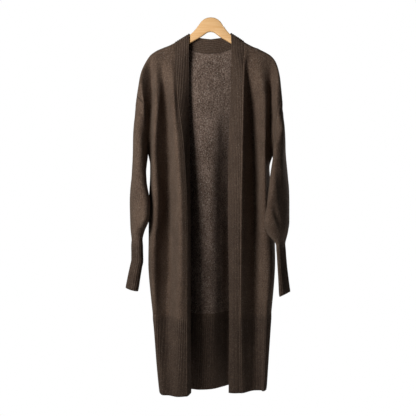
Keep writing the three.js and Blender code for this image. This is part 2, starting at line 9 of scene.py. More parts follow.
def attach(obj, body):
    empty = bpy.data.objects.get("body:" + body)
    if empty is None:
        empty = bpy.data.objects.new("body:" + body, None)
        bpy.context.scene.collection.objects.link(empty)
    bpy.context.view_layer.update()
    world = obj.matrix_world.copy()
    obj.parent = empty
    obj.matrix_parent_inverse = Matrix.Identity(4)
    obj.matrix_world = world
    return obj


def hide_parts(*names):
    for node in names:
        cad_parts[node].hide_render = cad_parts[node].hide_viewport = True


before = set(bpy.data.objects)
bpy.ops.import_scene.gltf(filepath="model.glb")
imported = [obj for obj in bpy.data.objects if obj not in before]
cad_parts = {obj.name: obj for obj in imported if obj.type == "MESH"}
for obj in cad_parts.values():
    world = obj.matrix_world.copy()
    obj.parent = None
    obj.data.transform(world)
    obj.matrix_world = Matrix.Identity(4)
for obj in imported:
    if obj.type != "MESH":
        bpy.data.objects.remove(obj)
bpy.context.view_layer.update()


# The view
# The cardigan is seen level, from 2.4 m in front of its middle.
EYE = (-0.009, -2.4, -0.5715)
camera = bpy.data.objects.new("view", bpy.data.cameras.new("view"))
camera.location = EYE
camera.rotation_euler = (math.pi / 2, 0, 0)
camera.data.angle = 2 * math.atan(0.624 / 2.4)
bpy.context.scene.collection.objects.link(camera)
bpy.context.scene.camera = camera


# The studio
# A floor painted white, 1.6 m below the top of the hanger, and plain white walls.
FLOOR_Z = -1.62
FLOOR_HALF = 30.0
PAINT = "#ffffff"
WALL_WHITE = 1.0        # brightness of the walls to the eye
WALL_GLOW = 0.022       # light that the walls throw back on the cloth


def linear(code):
    """An sRGB hex colour as linear red, green, blue and 1."""
    parts = [int(code[i:i + 2], 16) / 255 for i in (1, 3, 5)]
    return (*[c / 12.92 if c <= 0.04045 else ((c + 0.055) / 1.055) ** 2.4 for c in parts], 1)


def node(tree, kind, settings=None, links=None):
    """A new node with its settings and with links {its socket: another node's socket}."""
    made = tree.nodes.new(kind)
    for key, value in (settings or {}).items():
        if isinstance(key, int) or key in made.inputs:
            made.inputs[key].default_value = value
        else:
            setattr(made, key, value)
    for key, source in (links or {}).items():
        tree.links.new(source, made.inputs[key])
    return made


def new_material(name):
    """An empty node material and its tree."""
    made = bpy.data.materials.new(name)
    made.use_nodes = True
    made.node_tree.nodes.clear()
    return made, made.node_tree


floor_paint, tree = new_material("painted_floor")
sight = node(tree, "ShaderNodeLightPath")
matt = node(tree, "ShaderNodeBsdfDiffuse", {"Color": linear(PAINT)})
lit = node(tree, "ShaderNodeEmission", {"Color": linear(PAINT), "Strength": WALL_WHITE})
both = node(tree, "ShaderNodeMixShader", links={
    0: sight.outputs["Is Camera Ray"], 1: matt.outputs[0], 2: lit.outputs[0]})
node(tree, "ShaderNodeOutputMaterial", links={"Surface": both.outputs[0]})

floor_mesh = bpy.data.meshes.new("floor")
corners = [(x * FLOOR_HALF, y * FLOOR_HALF, FLOOR_Z) for x, y in
           ((-1, -1), (1, -1), (1, 1), (-1, 1))]
floor_mesh.from_pydata(corners, [], [(0, 1, 2, 3)])
floor_mesh.materials.append(floor_paint)
floor = bpy.data.objects.new("floor", floor_mesh)
bpy.context.scene.collection.objects.link(floor)

world = bpy.data.worlds.new("studio")
bpy.context.scene.world = world
world.use_nodes = True
tree = world.node_tree
tree.nodes.clear()
sight = node(tree, "ShaderNodeLightPath")
walls = node(tree, "ShaderNodeBackground", {"Color": (1, 1, 1, 1), "Strength": WALL_GLOW})
white = node(tree, "ShaderNodeBackground", {"Color": (1, 1, 1, 1), "Strength": WALL_WHITE})
both = node(tree, "ShaderNodeMixShader", links={
    0: sight.outputs["Is Camera Ray"], 1: walls.outputs[0], 2: white.outputs[0]})
node(tree, "ShaderNodeOutputWorld", links={"Surface": both.outputs[0]})
bpy.context.scene.view_settings.view_transform = "Standard"

# A soft box close on the left of the camera lights the folds from the side. A weak one behind
# keeps the back from going black.
LIGHTS = [
    {"name": "key", "at": (-0.74, -1.04, -0.12), "size": 0.45, "watts": 16.5, "aim": (0, 0, -0.35)},
    {"name": "behind", "at": (1.2, 2.6, 0.9), "size": 1.6, "watts": 55, "aim": (0, 0, -0.5)},
]
for row in LIGHTS:
    data = bpy.data.lights.new(row["name"], "AREA")
    data.size = row["size"]
    data.energy = row["watts"]
    lamp = bpy.data.objects.new(row["name"], data)
    lamp.location = row["at"]
    aim = Vector(row["aim"]) - Vector(row["at"])
    lamp.rotation_euler = aim.to_track_quat("-Z", "Y").to_euler()
    bpy.context.scene.collection.objects.link(lamp)


# Hanger
# A flat hanger sawn from one beech board, its long edges rounded over and varnished clear. A
# blind hole in its top takes the stem of a hook.
HANGER_THICK = 12
HANGER_EDGE = 3.5
HANGER_TILT = math.radians(0.7)
SOCKET_D = 5
SOCKET_DEPTH = 22
# Half of its outline: x from the middle, upper edge, lower edge
ARM = np.array([
    (0, 0, -43), (9, -1, -45), (18, -4.5, -51), (27, -11, -57.5), (36, -23, -63),
    (48, -39, -70), (60, -51, -77), (78, -63, -87), (100, -77, -98.5), (123, -89.5, -109),
    (147, -99.5, -119), (165, -108.5, -127), (174, -114, -131), (180, -121, -131)])
ARM_TIP = (182, -126)


def through(keys, values, at):
    """A smooth curve through (keys, values) that never swings past them, at many places."""
    keys = np.asarray(keys, float)
    values = np.asarray(values, float)
    if keys[-1] < keys[0]:
        keys = keys[::-1]
        values = values[::-1]
    slope = np.diff(values) / np.diff(keys)
    product = slope[:-1] * slope[1:]
    total = np.where(product > 0, slope[:-1] + slope[1:], 1)
    inside = np.where(product > 0, 2 * product / total, 0)
    tangent = np.concatenate([slope[:1], inside, slope[-1:]])
    at = np.clip(at, keys[0], keys[-1])
    i = np.clip(np.searchsorted(keys, at, side="right") - 1, 0, len(keys) - 2)
    step = keys[i + 1] - keys[i]
    t = (at - keys[i]) / step
    bend = t * t * (3 - 2 * t)
    return (values[i] + (values[i + 1] - values[i]) * bend
            + step * (t * (1 - t) ** 2 * tangent[i] - t * t * (1 - t) * tangent[i + 1]))


def tilted(x, z):
    """A point of the level hanger, as it hangs."""
    return x + z * HANGER_TILT, z - x * HANGER_TILT


def new_piece(name, mesh, *materials):
    """A smooth-shaded object of a mesh, riding on the one body."""
    made = bpy.data.objects.new(name, mesh)
    bpy.context.scene.collection.objects.link(made)
    for material in materials:
        mesh.materials.append(material)
    mesh.polygons.foreach_set("use_smooth", [True] * len(mesh.polygons))
    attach(made, "root")
    return made


stations = np.concatenate([np.arange(0, 178, 2.5), ARM[-1:, 0]])
upper = np.column_stack([stations, through(ARM[:, 0], ARM[:, 1], stations)])
lower = np.column_stack([stations, through(ARM[:, 0], ARM[:, 2], stations)])
half = np.concatenate([upper, [ARM_TIP], lower[::-1]])
outline = np.concatenate([half, half[-2:0:-1] * (-1, 1)])

board = bmesh.new()
ring = []
for x, z in outline:
    tx, tz = tilted(x, z)
    ring.append(board.verts.new((tx / 1000, -HANGER_THICK / 2000, tz / 1000)))
face = board.faces.new(ring)
grown = bmesh.ops.extrude_face_region(board, geom=[face])
moved = [v for v in grown["geom"] if isinstance(v, bmesh.types.BMVert)]
bmesh.ops.translate(board, verts=moved, vec=(0, HANGER_THICK / 1000, 0))
bmesh.ops.recalc_face_normals(board, faces=board.faces)
rims = [e for e in board.edges if abs(e.verts[0].co.y - e.verts[1].co.y) < 1e-6]
bmesh.ops.bevel(board, geom=rims, offset=HANGER_EDGE / 1000, offset_type="OFFSET",
                segments=4, profile=0.5, affect="EDGES", clamp_overlap=True)
board_mesh = bpy.data.meshes.new("hanger_board")
board.to_mesh(board_mesh)
board.free()

# Beech under a thin clear varnish: pale and warm, with a soft gloss. The grain runs along the
# board in slow bands, with short brown flecks. Both are sizes along, through and up the board.
GRAIN = (69.44, 5.208, 4.167)
FLECK = (3.846, 1.4286, 0.6667)
beech, tree = new_material("varnished_beech")
place = node(tree, "ShaderNodeTexCoord")
along = node(tree, "ShaderNodeMapping", {"Scale": [1000 / size for size in GRAIN]},
             {"Vector": place.outputs["Object"]})
bands = node(tree, "ShaderNodeTexNoise", {"Scale": 1.0, "Detail": 4.0, "Distortion": 0.6},
             {"Vector": along.outputs[0]})
tone = node(tree, "ShaderNodeValToRGB", links={"Fac": bands.outputs["Fac"]})
tone.color_ramp.elements[0].position = 0.3
tone.color_ramp.elements[0].color = linear("#efb877")
tone.color_ramp.elements[1].position = 0.68
tone.color_ramp.elements[1].color = linear("#ffd096")
fleck_place = node(tree, "ShaderNodeMapping", {"Scale": [1000 / size for size in FLECK]},
                   {"Vector": place.outputs["Object"]})
flecks = node(tree, "ShaderNodeTexNoise", {"Scale": 1.0, "Detail": 1.0},
              {"Vector": fleck_place.outputs[0]})
fleck_share = node(tree, "ShaderNodeMapRange", {"From Min": 0.66, "From Max": 0.76,
                   "To Max": 0.45}, {"Value": flecks.outputs["Fac"]})
wood_colour = node(tree, "ShaderNodeMix", {"data_type": "RGBA", 7: linear("#c08a52")},
                   {0: fleck_share.outputs[0], 6: tone.outputs[0]})
pores = node(tree, "ShaderNodeBump", {"Strength": 0.15, "Distance": 0.0002},
             {"Height": bands.outputs["Fac"]})
varnish = node(tree, "ShaderNodeBsdfPrincipled", {"Roughness": 0.42, "IOR": 1.5,
               "Coat Weight": 0.25, "Coat Roughness": 0.25},
               {"Base Color": wood_colour.outputs[2], "Normal": pores.outputs[0]})
node(tree, "ShaderNodeOutputMaterial", links={"Surface": varnish.outputs[0]})

hanger = new_piece("hanger_board", board_mesh, beech)
drill_mesh = bpy.data.meshes.new("drill")
drill_shape = bmesh.new()
bmesh.ops.create_cone(drill_shape, cap_ends=True, segments=32, radius1=SOCKET_D / 2000,
                      radius2=SOCKET_D / 2000, depth=2 * SOCKET_DEPTH / 1000)
drill_shape.to_mesh(drill_mesh)
drill_shape.free()
drill = bpy.data.objects.new("drill", drill_mesh)
bpy.context.scene.collection.objects.link(drill)
cut = hanger.modifiers.new("socket", "BOOLEAN")
cut.object = drill
cut.solver = "EXACT"
bpy.context.view_layer.update()
bored = bpy.data.meshes.new_from_object(
    hanger.evaluated_get(bpy.context.evaluated_depsgraph_get()))
hanger.modifiers.clear()
hanger.data = bored
bpy.data.objects.remove(drill)
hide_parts("hanger")


# The knit's fold lines
# The cardigan is plain-knitted in wool to the hem rib and hangs in tall folds from the hanger.
# Each table row is one fold line. A knit row is 0 at the shoulder, 1 at the underarm, 2 at the
# top of the hem rib and 3 at the hem.
CLOTH = 2.5
OVER_HANGER = 8.8       # from the middle of the board's thickness to the cloth on its faces
RIB_TOP = -890
HEM = -1120
HEIGHTS = (-100, -150, -250, -400, -560, -730, RIB_TOP, HEM)
SIDES = ("right", "left")
NO = None

# Each front: x on the shoulder line, height of the underarm's knit row, x and y at HEIGHTS
FRONT = {
    "right": [
        {"name": "band seam", "shoulder": -108, "under": -275,
         "x": (-107, -105, -100, -82, -73, -69, -69, -70),
         "y": (-11, -20, -36, -52, -64, -70, -72, -72)},
        {"name": "front ridge", "shoulder": -126, "under": -285,
         "x": (-124, -120, -113, -103, -94, -93, -96, -98),
         "y": (-10, -22, -43, -60, -72, -77, -77, -78)},
        {"name": "chest trough", "shoulder": -147, "under": -312,
         "x": (NO, -146, -136, -130, -127, -125, -128, -122),
         "y": (NO, -13, -4, 10, 14, 10, -20, -60)},
        {"name": "side ridge", "shoulder": -168, "under": -350,
         "x": (NO, -166, -161, -164, -159, -168, -163, -141),
         "y": (NO, -19, -39, -46, -43, -42, -48, -56)}],
    "left": [
        {"name": "band seam", "shoulder": 99, "under": -275,
         "x": (98, 94, 92, 89, 86, 85, 83, 82),
         "y": (-11, -19, -33, -43, -46, -43, -38, -31)},
        {"name": "front ridge", "shoulder": 112, "under": -285,
         "x": (108, 100, 98, 95, 93, 92, 92, 96),
         "y": (-10, -18, -33, -44, -46, -42, -35, -28)},
        {"name": "deep trough", "shoulder": 127, "under": -312,
         "x": (117, 113, 120, 127, 130, 131, 128, 124),
         "y": (-9, -8, 6, 18, 24, 22, 16, 2)},
        {"name": "side ridge", "shoulder": 146, "under": -350,
         "x": (NO, 148, 157, 156, 155, 156, 152, 150),
         "y": (NO, -18, -32, -28, -18, -8, 0, 6)}],
}

# The back, from the side to the middle
BACK = {
    "right": [
        {"name": "neck corner", "shoulder": -108, "under": -275,
         "x": (-104, -96, -82, -68, -64, -62, -62, -58),
         "y": (11, 14, 22, 30, 36, 38, 34, 24)},
        {"name": "back ridge", "shoulder": -126, "under": -285,
         "x": (-123, -119, -108, -92, -84, -80, -80, -80),
         "y": (10, 16, 33, 51, 63, 63, 50, 31)},
        {"name": "back trough", "shoulder": -147, "under": -312,
         "x": (NO, -147, -142, -130, -120, -118, -115, -110),
         "y": (NO, 12, 20, 32, 38, 40, 42, 34)},
        {"name": "side ridge", "shoulder": -168, "under": -350,
         "x": (NO, -171, -168, -159, -150, -150, -142, -132),
         "y": (NO, 20, 40, 50, 58, 58, 44, 22)}],
    "left": [
        {"name": "neck corner", "shoulder": 99, "under": -275,
         "x": (98, 92, 78, 60, 56, 56, 58, 62),
         "y": (11, 14, 26, 62, 78, 84, 86, 88)},
        {"name": "back ridge", "shoulder": 112, "under": -285,
         "x": (110, 106, 100, 92, 88, 88, 90, 94),
         "y": (10, 16, 33, 62, 80, 86, 86, 88)},
        {"name": "back trough", "shoulder": 127, "under": -312,
         "x": (126, 124, 122, 122, 122, 124, 122, 122),
         "y": (10, 12, 17, 34, 46, 50, 60, 74)},
        {"name": "side ridge", "shoulder": 146, "under": -350,
         "x": (NO, 148, 148, 150, 152, 154, 148, 146),
         "y": (NO, 20, 38, 50, 66, 70, 68, 67)}],
}

# The middle of the back, under the neck seam: where each line starts, then x and y at HEIGHTS
BACK_MIDDLE = [
    {"name": "right of middle", "top": (-50, 11, -100), "under": -265,
     "x": (NO, -48, -43, -38, -36, -36, -36, -34),
     "y": (NO, 12, 12, 12, 12, 13, 14, 14)},
    {"name": "middle", "top": (0, 11.5, -106), "under": -262,
     "x": (NO, 0, 0, 0, 2, 3, 4, 4),
     "y": (NO, 12, 13, 15, 17, 18, 20, 24)},
    {"name": "left of middle", "top": (50, 11, -97), "under": -265,
     "x": (NO, 47, 42, 32, 30, 31, 32, 36),
     "y": (NO, 12, 21, 42, 48, 50, 52, 58)},
]

# Where the dropped shoulder falls off the hanger: three knit columns at DROP_ROWS. deep is how
# far each stands forward or back.
DROP_ROWS = (0, 0.25, 0.5, 0.75, 1)
DROP = [
    {"name": "armpit trough", "deep": (8.8, 8, 4, 10, 28), "z": (-121, -165, -225, -300, -378),
     "right": (-187, -182, -178, -178, -174), "left": (185, 181, 179, 175, 166), "round": 0.055},
    {"name": "shoulder bulge", "deep": (20, 36, 42, 10, 12), "z": (-166, -188, -232, -300, -390),
     "right": (-208, -206, -200, -188, -181), "left": (203, 198, 191, 183, 175), "round": 0.1},
    {"name": "armhole", "deep": (24, 39, 46, 36, 0), "z": (-238, -251, -266, -320, -403),
     "right": (-222, -209, -198, -195, -190), "left": (213, 204, 197, 191, 186), "round": 0.14},
]
UNDERARM = {"right": {"y": 6, "lower": 0}, "left": {"y": 14, "lower": 9}}
FOLD_TURN = 0.055       # knit row by which a fold line has turned over the hanger's arm
KNOT_SPACE = 12         # a table height less than this below a line's start is passed over

# The flank between side ridge and side seam, x and y at FLANK_HEIGHTS
FLANK_HEIGHTS = (-450, -560, -730, RIB_TOP, HEM)
FLANK = {
    "right": {
        "front": [((-174, -176, -180, -170, -148), (-27, -24, -22, -26, -37)),
                  ((-181, -184, -186, -173, -151), (-6, -5, -5, -8, -25))],
        "seam": ((-182, -185, -186, -172, -149), (13, 14, 12, 6, -12)),
        "back": [((-170, -170, -171, -160, -143), (42, 46, 44, 32, 12)),
                 ((-180, -182, -182, -169, -149), (29, 32, 30, 20, 0))]},
    "left": {
        "front": [((162, 168, 174, 164, 156), (-12, -8, -12, -12, -6)),
                  ((173, 182, 188, 177, 164), (10, 14, 10, 8, 10))],
        "seam": ((177, 188, 195, 183, 167), (28, 36, 34, 30, 28)),
        "back": [((166, 174, 180, 167, 157), (51, 62, 62, 58, 55)),
                 ((176, 186, 192, 179, 164), (40, 51, 50, 45, 43))]},
}


# The cloth's height above the arm, and how much that grows for each millimetre outwards
ARM_LIFT = 3.6
ARM_LIFT_GROWS = 0.006


def over_arm(x):
    """Height of the middle of the cloth where it lies over the hanger's arm at x."""
    top = through(ARM[:, 0], ARM[:, 1], abs(x))
    return float(tilted(x, top)[1] + ARM_LIFT + ARM_LIFT_GROWS * abs(x))


def fold_line(fold, front_or_back):
    """A fold line's knots (row, x, y, z), and the knit row by which it has turned over."""
    if "top" in fold:
        x, y, z = fold["top"]
    else:
        x, y, z = fold["shoulder"], front_or_back * OVER_HANGER, over_arm(fold["shoulder"])
    knots = [(0, x, y, z)]
    under = fold["under"]
    for height, fx, fy in zip(HEIGHTS, fold["x"], fold["y"]):
        if fx is None or height > z - KNOT_SPACE:
            continue
        if height > under:
            row = (z - height) / (z - under)
        elif height > RIB_TOP:
            row = 1 + (under - height) / (under - RIB_TOP)
        else:
            row = 2 + (RIB_TOP - height) / (RIB_TOP - HEM)
        knots.append((row, fx, fy, height))
    return {"knots": np.array(knots, float), "round": 0 if "top" in fold else FOLD_TURN,
            "split": False}


def drop_line(side, front_or_back, index):
    """One of the dropped shoulder's columns and the flank below it."""
    table = DROP[index]
    under_y, lower = UNDERARM[side]["y"], UNDERARM[side]["lower"]
    last = index == 2
    knots = [(row, x, front_or_back * deep + under_y * row * row,
              z - (lower if last else lower * row))
             for row, x, deep, z in zip(DROP_ROWS, table[side], table["deep"], table["z"])]
    key = "front" if front_or_back < 0 else "back"
    xs, ys = FLANK[side]["seam"] if last else FLANK[side][key][index]
    under = knots[-1][3]
    for height, x, y in zip(FLANK_HEIGHTS, xs, ys):
        row = 1 + (under - height) / (under - RIB_TOP) if height >= RIB_TOP else 3
        knots.append((row, x, y, height))
    return {"knots": np.array(knots, float), "round": table["round"], "split": last}


def on_fold(line, rows, behind=0.0):
    """Points of a fold line at many knit rows. behind is how far it has turned over where it
    starts. The armhole's line is the side seam below the underarm, so it is two curves."""
    rows = np.asarray(rows, float)
    knots = line["knots"]
    first = DROP_ROWS.index(1) + 1
    if line["split"]:
        parts = [(rows <= 1, knots[:first]), (rows > 1, knots[first - 1:])]
    else:
        parts = [(rows > -1, knots)]
    out = np.zeros((len(rows), 3))
    for chosen, used in parts:
        for axis in range(3):
            out[chosen, axis] = through(used[:, 0], used[:, axis + 1], rows[chosen])
    if line["round"]:
        turned = np.clip(np.maximum(behind, rows / line["round"]), 0, 1)
        out[:, 1] *= np.sqrt(1 - (1 - turned) ** 2)
    return out


def across(lines, rows, steps, behind=0.0):
    """A net of points [row][step]: splines across the fold lines at each knit row."""
    points = np.stack([on_fold(line, rows, behind) for line in lines], axis=1)
    first = 2 * points[:, :1] - points[:, 1:2]
    last = 2 * points[:, -1:] - points[:, -2:-1]
    points = np.concatenate([first, points, last], axis=1)
    i = np.clip(np.floor(steps).astype(int), 0, len(lines) - 2)
    t = (steps - i)[None, :, None]
    a, b, c, d = (points[:, i + k] for k in range(4))
    return 0.5 * (2 * b + (c - a) * t + (2 * a - 5 * b + 4 * c - d) * t ** 2
                  + (3 * b - a - 3 * c + d) * t ** 3)


LINES = {side: {
    "front": [fold_line(f, -1) for f in FRONT[side]] + [drop_line(side, -1, i) for i in range(3)],
    "back": [fold_line(f, 1) for f in BACK[side]] + [drop_line(side, 1, i) for i in range(3)],
} for side in SIDES}
MIDDLE = [fold_line(fold, 1) for fold in BACK_MIDDLE]

# Rows and columns of the panels' fine nets, about 5 mm apart
BODY_ROWS = np.concatenate([np.linspace(0, 0.06, 7), np.linspace(0.06, 0.16, 6)[1:],
                            np.linspace(0.16, 1, 48)[1:], np.linspace(1, 2, 122)[1:]])
HEM_ROWS = np.linspace(2, 3, 40)
FOLD_STEPS = np.linspace(0, 6, 67)
NECK_STEPS = np.concatenate([np.linspace(0, 0.12, 6), np.linspace(0.12, 1, 20)[1:]])
NECK_TURN = 0.12


def front_net(side, rows):
    """A front panel or its hem, from the band seam to the armhole and side seam."""
    return across(LINES[side]["front"], rows, FOLD_STEPS)


def under_neck(side, rows, share):
    """The back under the neck, at shares of the way from the neck corner to the middle."""
    lines = [LINES["right"]["back"][1], LINES["right"]["back"][0], *MIDDLE,
             LINES["left"]["back"][0], LINES["left"]["back"][1]]
    parts = []
    for t in share:
        step = 1 + 2 * t if side == "right" else 5 - 2 * t
        parts.append(across(lines, rows, np.array([step]), t / NECK_TURN))
    return np.concatenate(parts, axis=1)


def back_net(rows):
    """The back from the right side seam to the left one."""
    return np.concatenate([
        across(LINES["right"]["back"], rows, FOLD_STEPS)[:, ::-1],
        under_neck("right", rows, NECK_STEPS[1:]),
        under_neck("left", rows, NECK_STEPS[1:-1])[:, ::-1],
        across(LINES["left"]["back"], rows, FOLD_STEPS)], axis=1)


# The free edge of the band up each front, and behind the neck at three shares of the way
BAND_EDGE = {
    "right": {"shoulder": -64, "under": -262,
              "x": (-66, -67, -67, -65, -63, -62, -62, -60),
              "y": (-10, -3, 1, -6, -17, -22, -24, -25)},
    "left": {"shoulder": 59, "under": -262,
             "x": (61, 60, 59, 53, 51, 53, 54, 52),
             "y": (-10, -3, 3, -13, -20, -24, -26, -26)},
}
NECK_EDGE = {"right": ((-57, 9, -53), (-28, 10.5, -60), (0, 11, -63)),
             "left": ((52, 9, -52), (28, 10.5, -59), (0, 11, -63))}
NECK_SHARES = (0, 0.16, 0.55, 1)
BAND_STEPS = np.linspace(0, 1, 13)
BAND_RIBS = 8
BAND_ROLL = 4           # how far the middle of the band rolls forward
BAND_ROLL_ROW = 0.3     # knit row by which it has its full roll


def band_net(side):
    """The band from the hem to centre back, each row from its seam to its free edge."""
    rows = np.concatenate([BODY_ROWS, HEM_ROWS[1:]])[::-1]
    seam = on_fold(LINES[side]["front"][0], rows)
    edge = on_fold(fold_line(BAND_EDGE[side], -1), rows)
    t = BAND_STEPS[None, :, None]
    net = seam[:, None] * (1 - t) + edge[:, None] * t
    rolled = np.clip(rows / BAND_ROLL_ROW, None, 1)[:, None]
    net[:, :, 1] -= BAND_ROLL * rolled * np.sin(math.pi * BAND_STEPS)[None]
    corner = (BAND_EDGE[side]["shoulder"], OVER_HANGER, over_arm(BAND_EDGE[side]["shoulder"]))
    knots = np.array([corner, *NECK_EDGE[side]], float)
    shares = NECK_STEPS[1:]
    top_seam = under_neck(side, np.zeros(1), shares)[0]
    top_edge = np.column_stack([through(NECK_SHARES, knots[:, axis], shares)
                                for axis in range(3)])
    top_edge[:, 1] *= np.sqrt(1 - (1 - np.clip(shares / NECK_TURN, None, 1)) ** 2)
    top = top_seam[:, None] * (1 - t) + top_edge[:, None] * t
    return np.concatenate([net, top])


# Sleeve sections down to the cuff's end: outer and inner x, middle and half depth in y, and
# how far the section leans
SLEEVE = {
    "right": [
        (-238, -222, -190, 0, 44, 0), (-320, -228, -190, -2, 52, 0),
        (-403, -233, -195, -3, 59, 0.08), (-490, -238, -192, -8, 62, 0.12),
        (-560, -243, -181, -12, 63, 0.25), (-605, -242, -184, -12, 60, 0.22),
        (-640, -239, -199, -10, 48, 0.12), (-668, -237, -205, -8, 39, 0.12),
        (-727, -237, -204, -8, 38, 0.14), (-742, -240, -207, -8, 38, 0.14),
        (-775, -247, -213, -8, 39, 0.14), (-817, -255, -219, -8, 40, 0.14)],
    "left": [
        (-247, 213, 176, 0, 44, 0), (-320, 218, 176, -4, 52, 0),
        (-403, 224, 182, -12, 58, 0.22), (-490, 231, 172, -26, 62, 0.3),
        (-560, 234, 164, -36, 60, 0.42), (-612, 233, 156, -42, 56, 0.46),
        (-645, 228, 166, -34, 50, 0.34), (-680, 222, 192, -24, 39, 0.28),
        (-740, 226, 197, -24, 38, 0.32), (-790, 232, 200, -24, 39, 0.34),
        (-830, 237, 202, -24, 40, 0.34)],
}
CUFF_TOP = {"right": -668, "left": -680}
CUFF_END = {"right": -814.5, "left": -827.5}
# How far the end of each cuff rises at its outer side and drops at its inner one
CUFF_TILT = {"right": 4.5, "left": 6}
SLEEVE_ROWS = np.linspace(0, 1, 84)
CUFF_ROWS = np.linspace(0, 1, 28)
ARMHOLE_ROWS = BODY_ROWS[BODY_ROWS <= 1]
ARMHOLE_FALL = 70       # how far below the seam the sleeve keeps some of the armhole's shape
LEAST_REACH = 60        # least square of a section's half width, in square millimetres


def sleeve_section(side, z, angle):
    """Points of the sleeve's section at heights z and angles round it."""
    table = np.array(SLEEVE[side], float)
    outer, inner, mid, half, lean = (through(table[:, 0], table[:, k], z) for k in range(1, 6))
    lean = lean * half
    reach = np.abs(outer - inner) / 2
    own = np.sqrt(np.maximum(reach ** 2 - lean ** 2, LEAST_REACH))
    towards = 1 if side == "right" else -1
    x = (outer + inner) / 2 - towards * (own * np.cos(angle) - lean * np.sin(angle))
    return np.stack([x, mid - half * np.sin(angle), z + 0 * angle], axis=-1)


def armhole_ring(side):
    """The armhole seam, from the shoulder down the front and up the back, and its angles."""
    front = on_fold(LINES[side]["front"][-1], ARMHOLE_ROWS)
    back = on_fold(LINES[side]["back"][-1], ARMHOLE_ROWS)[::-1]
    ring = np.concatenate([front, back[1:-1]])
    length = np.linalg.norm(np.roll(ring, -1, axis=0) - ring, axis=1)
    low = len(front) - 1
    down = np.concatenate([[0], np.cumsum(length[:low])]) / length[:low].sum()
    up = np.concatenate([[0], np.cumsum(length[low:])])[:-1] / length[low:].sum()
    return ring, math.pi * np.concatenate([down[:-1], 1 + up])


def sleeve_net(side):
    """The sleeve's rings, from the armhole seam to the cuff."""
    ring, angles = armhole_ring(side)
    off = ring - sleeve_section(side, ring[:, 2], angles)
    z = ring[None, :, 2] + (CUFF_TOP[side] - ring[None, :, 2]) * SLEEVE_ROWS[:, None]
    fallen = np.clip((ring[None, :, 2] - z) / ARMHOLE_FALL, 0, 1)
    fade = 1 - fallen * fallen * (3 - 2 * fallen)
    net = sleeve_section(side, z, angles[None, :] + 0 * z)
    net += off[None] * fade[..., None]
    net[..., 2] = z
    return net


def cuff_net(side):
    """The cuff's rings, from the sleeve to its end."""
    columns = len(armhole_ring(side)[0])
    z = CUFF_TOP[side] + (CUFF_END[side] - CUFF_TOP[side]) * CUFF_ROWS
    angles = 2 * math.pi * np.arange(columns) / columns
    net = sleeve_section(side, z[:, None] + 0 * angles[None], angles[None] + 0 * z[:, None])
    net[:, :, 2] += CUFF_TILT[side] * CUFF_ROWS[:, None] ** 2 * np.cos(angles)[None]
    return net


# Fine creases
# Small soft folds that the tall ones leave between them: x and z of both ends, half width and
# height in millimetres, a trough where the height is negative.
CREASES = {
    "front_right": [(-149, -175, -139, -330, 12, -2.5), (-166, -430, -160, -640, 9, 2.5),
                    (-114, -480, -110, -740, 8, 2), (-151, -640, -149, -860, 10, -2.5),
                    (-100, -220, -103, -400, 9, -2), (-128, -150, -150, -215, 12, 2),
                    (-163, -200, -156, -258, 4, -2.5), (-150, -190, -157, -300, 5, 1.5)],
    "front_left": [(133, -170, 128, -320, 11, -2.5), (158, -400, 160, -620, 9, 2.5),
                   (106, -420, 104, -700, 8, 2), (140, -620, 142, -850, 10, 2.5),
                   (108, -190, 106, -360, 8, -2), (150, -230, 160, -330, 9, -2)],
    "back": [(-58, -190, -50, -420, 15, 2.5), (22, -260, 14, -540, 13, -2.5),
             (-18, -470, -13, -800, 11, 2), (64, -400, 70, -720, 13, -2.5),
             (-112, -330, -122, -640, 14, -3), (120, -330, 130, -610, 14, 3),
             (-150, -240, -160, -400, 12, 2.5), (145, -220, 160, -380, 12, -2.5),
             (-90, -640, -86, -850, 12, 2.5), (110, -650, 106, -860, 12, -2.5)],
    "sleeve_right": [(-201, -420, -213, -560, 9, -3), (-225, -320, -214, -470, 11, 2.5),
                     (-237, -500, -226, -640, 9, 2.5), (-202, -545, -214, -652, 8, -3),
                     (-190, -590, -222, -645, 7, 2.5), (-216, -270, -198, -312, 5, -2.5),
                     (-222, -262, -204, -286, 4, 2)],
    "sleeve_left": [(188, -420, 206, -570, 10, -3), (213, -320, 203, -480, 11, 2.5),
                    (228, -500, 214, -640, 9, 2.5), (178, -550, 200, -650, 8, -3),
                    (172, -585, 208, -662, 7, 3), (214, -272, 197, -310, 5, -2.5),
                    (210, -300, 198, -350, 5, -2)],
    "hem_back": [(-60, -920, -54, -1100, 12, 2), (60, -920, 64, -1090, 12, -2.5)],
    "hem_right": [(-118, -920, -112, -1080, 9, -2)],
    "hem_left": [(118, -920, 116, -1090, 9, 2)],
    "cuff_right": [(-222, -690, -214, -745, 6, -1.5), (-230, -730, -205, -740, 5, 1.5)],
    "cuff_left": [(206, -700, 214, -770, 6, -1.5)],
}
UNEVEN = (34, 34, 110)  # size of the unevenness in x, y and z
UNEVEN_HEIGHT = 1.1
FADE_POINTS = 3         # points of the net over which both fade out at an edge


